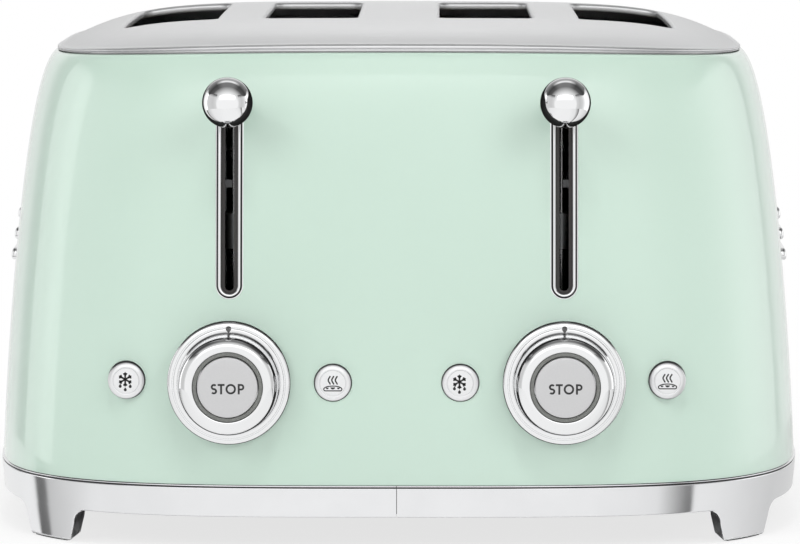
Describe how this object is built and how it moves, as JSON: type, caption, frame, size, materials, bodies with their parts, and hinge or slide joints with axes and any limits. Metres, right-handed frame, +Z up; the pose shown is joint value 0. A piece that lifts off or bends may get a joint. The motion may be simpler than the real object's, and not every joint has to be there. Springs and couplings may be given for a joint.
{
  "type": "pop up toaster",
  "caption": "Retro pop up toaster with rounded painted body, crowned satin steel top, ball levers, browning dials, push buttons and pull-out crumb trays.",
  "frame": {"origin": "on the table plane, under the middle of the whole outline", "axes": "+Z up, -Y towards the user (levers, dials), +X to the user's right"},
  "size_m": [0.325, 0.3868, 0.2026],
  "materials": {
    "mint_paint": "smooth pastel mint enamel, high gloss",
    "satin_steel": "fine satin",
    "chrome": "polished",
    "base_plastic": "moulded, heat resistant, matt",
    "rubber": "matt",
    "dark_plastic": "moulded, matt",
    "zinc_steel": "zinc plated",
    "wire_steel": "bright drawn wire",
    "coil_copper": "lacquered copper winding",
    "grey_plastic": "translucent grey, matt",
    "silver_plastic": "silver lacquer with a fine texture",
    "circuit_board": "solder mask",
    "tray_steel": "pressed sheet",
    "mica": "flaky mineral sheet",
    "heater_wire": "dull resistance ribbon",
    "black_plastic": "moulded, matt"
  },
  "bodies": {
    "housing": {"body_shell": "mint_paint", "top_cover": "satin_steel", "base_trim_left": "chrome", "base_trim_right": "chrome", "base_plate": "base_plastic", "rubber_feet": "rubber", "lever_bezel_left": "chrome", "lever_bezel_right": "chrome", "slot_liner_left": "dark_plastic", "slot_liner_right": "dark_plastic", "guide_rod_left": "wire_steel", "guide_rod_right": "wire_steel", "lift_spring_left": "wire_steel", "lift_spring_right": "wire_steel", "electromagnet_left": "coil_copper", "electromagnet_right": "coil_copper", "escutcheon_left": "satin_steel", "escutcheon_right": "satin_steel", "control_carrier_left": "dark_plastic", "control_carrier_right": "dark_plastic", "control_board_left": "circuit_board", "control_board_right": "circuit_board", "chassis_front": "zinc_steel", "chassis_rear": "zinc_steel", "side_shield_left": "zinc_steel", "side_shield_right": "zinc_steel", "centre_shield": "zinc_steel", "mica_cards": "mica", "heater_ribbons": "heater_wire", "power_board": "circuit_board", "cord_gland": "black_plastic", "side_trims": "chrome", "screws": "wire_steel"},
    "lever_left": {"lever_arm_left": "zinc_steel", "lever_knob_left": "chrome", "carriage_left": "zinc_steel", "bread_lifters_left": "wire_steel", "armature_left": "zinc_steel"},
    "guides_left_outer": {"guide_racks_left_outer": "wire_steel"},
    "guides_left_inner": {"guide_racks_left_inner": "wire_steel"},
    "dial_turn_left": {"dial_left": "chrome", "light_ring_left": "grey_plastic"},
    "stop_left": {"stop_button_left": "silver_plastic"},
    "defrost_left": {"defrost_button_left": "silver_plastic"},
    "reheat_left": {"reheat_button_left": "silver_plastic"},
    "tray_left": {"crumb_tray_left": "tray_steel"},
    "lever_right": {"lever_arm_right": "zinc_steel", "lever_knob_right": "chrome", "carriage_right": "zinc_steel", "bread_lifters_right": "wire_steel", "armature_right": "zinc_steel"},
    "guides_right_outer": {"guide_racks_right_outer": "wire_steel"},
    "guides_right_inner": {"guide_racks_right_inner": "wire_steel"},
    "dial_turn_right": {"dial_right": "chrome", "light_ring_right": "grey_plastic"},
    "stop_right": {"stop_button_right": "silver_plastic"},
    "defrost_right": {"defrost_button_right": "silver_plastic"},
    "reheat_right": {"reheat_button_right": "silver_plastic"},
    "tray_right": {"crumb_tray_right": "tray_steel"}
  },
  "joints": [
    {"name": "lever_left_slide", "type": "slide", "parent": "housing", "child": "lever_left", "axis": [0, 0, -1], "range_m": [0, 0.07], "stiffness_N_per_m": 140, "springref_m": -0.06, "deforming": ["lift_spring_left"]},
    {"name": "guides_left_outer_close", "type": "slide", "parent": "housing", "child": "guides_left_outer", "axis": [1, 0, 0], "range_m": [0, 0.007]},
    {"name": "guides_left_inner_close", "type": "slide", "parent": "housing", "child": "guides_left_inner", "axis": [-1, 0, 0], "range_m": [0, 0.007]},
    {"name": "dial_left_turn", "type": "hinge", "parent": "housing", "child": "dial_turn_left", "pos_m": [-0.0647, -0.17641, 0.0652], "axis": [0, 1, 0], "range_deg": [-135, 135]},
    {"name": "stop_left_press", "type": "slide", "parent": "housing", "child": "stop_left", "axis": [0, 1, 0], "range_m": [0, 0.0015], "stiffness_N_per_m": 700, "springref_m": -0.0015},
    {"name": "defrost_left_press", "type": "slide", "parent": "housing", "child": "defrost_left", "axis": [0, 1, 0], "range_m": [0, 0.0015], "stiffness_N_per_m": 700, "springref_m": -0.0015},
    {"name": "reheat_left_press", "type": "slide", "parent": "housing", "child": "reheat_left", "axis": [0, 1, 0], "range_m": [0, 0.0015], "stiffness_N_per_m": 700, "springref_m": -0.0015},
    {"name": "tray_left_pull", "type": "slide", "parent": "housing", "child": "tray_left", "axis": [0, 1, 0], "range_m": [0, 0.2]},
    {"name": "lever_right_slide", "type": "slide", "parent": "housing", "child": "lever_right", "axis": [0, 0, -1], "range_m": [0, 0.07], "stiffness_N_per_m": 140, "springref_m": -0.06, "deforming": ["lift_spring_right"]},
    {"name": "guides_right_outer_close", "type": "slide", "parent": "housing", "child": "guides_right_outer", "axis": [-1, 0, 0], "range_m": [0, 0.007]},
    {"name": "guides_right_inner_close", "type": "slide", "parent": "housing", "child": "guides_right_inner", "axis": [1, 0, 0], "range_m": [0, 0.007]},
    {"name": "dial_right_turn", "type": "hinge", "parent": "housing", "child": "dial_turn_right", "pos_m": [0.0647, -0.17641, 0.0652], "axis": [0, 1, 0], "range_deg": [-135, 135]},
    {"name": "stop_right_press", "type": "slide", "parent": "housing", "child": "stop_right", "axis": [0, 1, 0], "range_m": [0, 0.0015], "stiffness_N_per_m": 700, "springref_m": -0.0015},
    {"name": "defrost_right_press", "type": "slide", "parent": "housing", "child": "defrost_right", "axis": [0, 1, 0], "range_m": [0, 0.0015], "stiffness_N_per_m": 700, "springref_m": -0.0015},
    {"name": "reheat_right_press", "type": "slide", "parent": "housing", "child": "reheat_right", "axis": [0, 1, 0], "range_m": [0, 0.0015], "stiffness_N_per_m": 700, "springref_m": -0.0015},
    {"name": "tray_right_pull", "type": "slide", "parent": "housing", "child": "tray_right", "axis": [0, 1, 0], "range_m": [0, 0.2]}
  ],
  "couplings": [
    {"joint": "guides_left_outer_close", "follows": "lever_left_slide", "ratio": 0.1},
    {"joint": "guides_left_inner_close", "follows": "lever_left_slide", "ratio": 0.1},
    {"joint": "guides_right_outer_close", "follows": "lever_right_slide", "ratio": 0.1},
    {"joint": "guides_right_inner_close", "follows": "lever_right_slide", "ratio": 0.1}
  ]
}
